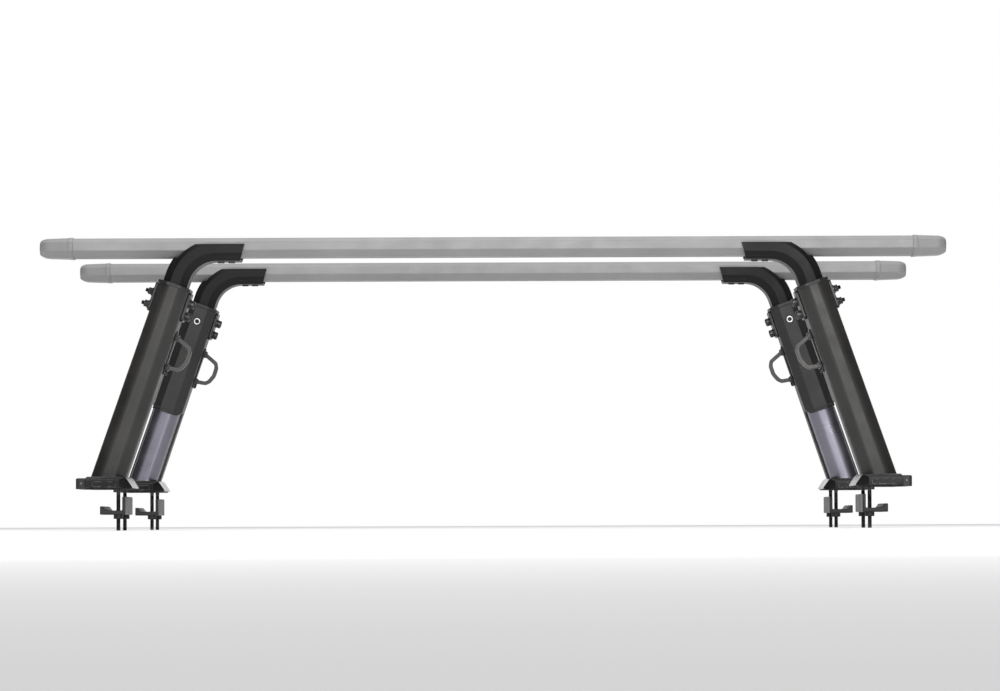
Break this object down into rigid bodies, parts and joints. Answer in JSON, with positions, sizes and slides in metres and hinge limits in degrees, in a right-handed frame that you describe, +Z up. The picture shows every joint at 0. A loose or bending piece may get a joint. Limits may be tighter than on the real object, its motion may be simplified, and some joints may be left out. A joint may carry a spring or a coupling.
{
  "type": "ladder rack",
  "caption": "Height-adjustable pickup bed ladder rack: leaning telescoping towers with gooseneck arms, rail clamps and crossbars.",
  "frame": {"origin": "middle of the four feet, on the plane of the bed rails that they stand on", "axes": "+X across the truck, +Y towards the cab, +Z up"},
  "size_m": [1.727, 1.04, 0.5574],
  "materials": {
    "cast_gloss_black": "gloss black coat on a casting",
    "jaw_black": "satin black coat",
    "mast_anodised": "smooth semi-gloss black anodised",
    "tower_powder_coat": "satin black powder coat",
    "cover_plastic": "satin black moulded plastic",
    "lock_core": "dark core with a key slot",
    "loop_grey": "grey-brown satin coat",
    "arm_powder_coat": "satin black powder coat",
    "rubber": "matte black rubber",
    "dark_steel": "black zinc plated steel",
    "bright_steel": "bright plated",
    "cap_plastic": "matte black moulded plastic",
    "glide_plastic": "black bearing plastic",
    "plate_black": "satin black coat",
    "bar_anodised": "satin silver-grey anodised",
    "bar_cap_plastic": "grey moulded plastic",
    "bar_rubber": "dark grey ribbed rubber"
  },
  "bodies": {
    "tower_frames": {"foot_rear_left": "cast_gloss_black", "foot_rear_right": "cast_gloss_black", "foot_front_left": "cast_gloss_black", "foot_front_right": "cast_gloss_black", "mast_rear_left": "mast_anodised", "mast_rear_right": "mast_anodised", "mast_front_left": "mast_anodised", "mast_front_right": "mast_anodised", "outer_shell_rear_left": "tower_powder_coat", "outer_shell_rear_right": "tower_powder_coat", "outer_shell_front_left": "tower_powder_coat", "outer_shell_front_right": "tower_powder_coat", "lock_cover_rear_left": "cover_plastic", "lock_cover_rear_right": "cover_plastic", "lock_cover_front_left": "cover_plastic", "lock_cover_front_right": "cover_plastic", "tie_down_loop_rear_left": "loop_grey", "tie_down_loop_rear_right": "loop_grey", "tie_down_loop_front_left": "loop_grey", "tie_down_loop_front_right": "loop_grey", "foot_pads": "rubber", "foot_end_caps": "cap_plastic", "foot_cap_screws": "dark_steel", "jaw_bolts": "dark_steel", "collars": "cover_plastic", "mast_glides": "glide_plastic", "clamp_plates": "plate_black", "clamp_bolts": "dark_steel", "clamp_washers": "dark_steel", "clamp_nuts": "dark_steel", "lock_barrels": "bright_steel", "loop_brackets": "plate_black", "loop_screws": "dark_steel"},
    "rear_bar": {"crossbar_rear": "bar_anodised", "bar_end_caps_rear": "bar_cap_plastic", "bar_strip_rear": "bar_rubber"},
    "front_bar": {"crossbar_front": "bar_anodised", "bar_end_caps_front": "bar_cap_plastic", "bar_strip_front": "bar_rubber"},
    "rear_left_arm": {"arm_rear_left": "arm_powder_coat", "saddle_pad_rear_left": "rubber", "saddle_bolts_rear_left": "dark_steel"},
    "rear_right_arm": {"arm_rear_right": "arm_powder_coat", "saddle_pad_rear_right": "rubber", "saddle_bolts_rear_right": "dark_steel"},
    "front_left_arm": {"arm_front_left": "arm_powder_coat", "saddle_pad_front_left": "rubber", "saddle_bolts_front_left": "dark_steel"},
    "front_right_arm": {"arm_front_right": "arm_powder_coat", "saddle_pad_front_right": "rubber", "saddle_bolts_front_right": "dark_steel"},
    "rear_left_plug": {"lock_plug_rear_left": "lock_core"},
    "rear_right_plug": {"lock_plug_rear_right": "lock_core"},
    "front_left_plug": {"lock_plug_front_left": "lock_core"},
    "front_right_plug": {"lock_plug_front_right": "lock_core"},
    "rear_left_jaw": {"rail_jaw_rear_left": "jaw_black"},
    "rear_right_jaw": {"rail_jaw_rear_right": "jaw_black"},
    "front_left_jaw": {"rail_jaw_front_left": "jaw_black"},
    "front_right_jaw": {"rail_jaw_front_right": "jaw_black"}
  },
  "joints": [
    {"name": "rear_bar_lift", "type": "slide", "parent": "tower_frames", "child": "rear_bar", "axis": [0, 0, 1], "range_m": [0, 0.28]},
    {"name": "front_bar_lift", "type": "slide", "parent": "tower_frames", "child": "front_bar", "axis": [0, 0, 1], "range_m": [0, 0.28]},
    {"name": "rear_left_arm_slide", "type": "slide", "parent": "tower_frames", "child": "rear_left_arm", "axis": [0.3256, 0, 0.9455], "range_m": [0, 0.297]},
    {"name": "rear_right_arm_slide", "type": "slide", "parent": "tower_frames", "child": "rear_right_arm", "axis": [-0.3256, 0, 0.9455], "range_m": [0, 0.297]},
    {"name": "front_left_arm_slide", "type": "slide", "parent": "tower_frames", "child": "front_left_arm", "axis": [0.3256, 0, 0.9455], "range_m": [0, 0.297]},
    {"name": "front_right_arm_slide", "type": "slide", "parent": "tower_frames", "child": "front_right_arm", "axis": [-0.3256, 0, 0.9455], "range_m": [0, 0.297]},
    {"name": "rear_left_key_turn", "type": "hinge", "parent": "tower_frames", "child": "rear_left_plug", "pos_m": [-0.61709, -0.368, 0.35552], "axis": [0, -1, 0], "range_deg": [0, 90]},
    {"name": "rear_right_key_turn", "type": "hinge", "parent": "tower_frames", "child": "rear_right_plug", "pos_m": [0.61709, -0.368, 0.35552], "axis": [0, -1, 0], "range_deg": [0, 90]},
    {"name": "front_left_key_turn", "type": "hinge", "parent": "tower_frames", "child": "front_left_plug", "pos_m": [-0.61709, 0.368, 0.35552], "axis": [0, 1, 0], "range_deg": [0, 90]},
    {"name": "front_right_key_turn", "type": "hinge", "parent": "tower_frames", "child": "front_right_plug", "pos_m": [0.61709, 0.368, 0.35552], "axis": [0, 1, 0], "range_deg": [0, 90]},
    {"name": "rear_left_jaw_travel", "type": "slide", "parent": "tower_frames", "child": "rear_left_jaw", "axis": [0, 0, 1], "range_m": [-0.02, 0]},
    {"name": "rear_right_jaw_travel", "type": "slide", "parent": "tower_frames", "child": "rear_right_jaw", "axis": [0, 0, 1], "range_m": [-0.02, 0]},
    {"name": "front_left_jaw_travel", "type": "slide", "parent": "tower_frames", "child": "front_left_jaw", "axis": [0, 0, 1], "range_m": [-0.02, 0]},
    {"name": "front_right_jaw_travel", "type": "slide", "parent": "tower_frames", "child": "front_right_jaw", "axis": [0, 0, 1], "range_m": [-0.02, 0]}
  ],
  "couplings": [
    {"joint": "rear_left_arm_slide", "follows": "rear_bar_lift", "ratio": 1.0576},
    {"joint": "rear_right_arm_slide", "follows": "rear_bar_lift", "ratio": 1.0576},
    {"joint": "front_left_arm_slide", "follows": "front_bar_lift", "ratio": 1.0576},
    {"joint": "front_right_arm_slide", "follows": "front_bar_lift", "ratio": 1.0576}
  ]
}
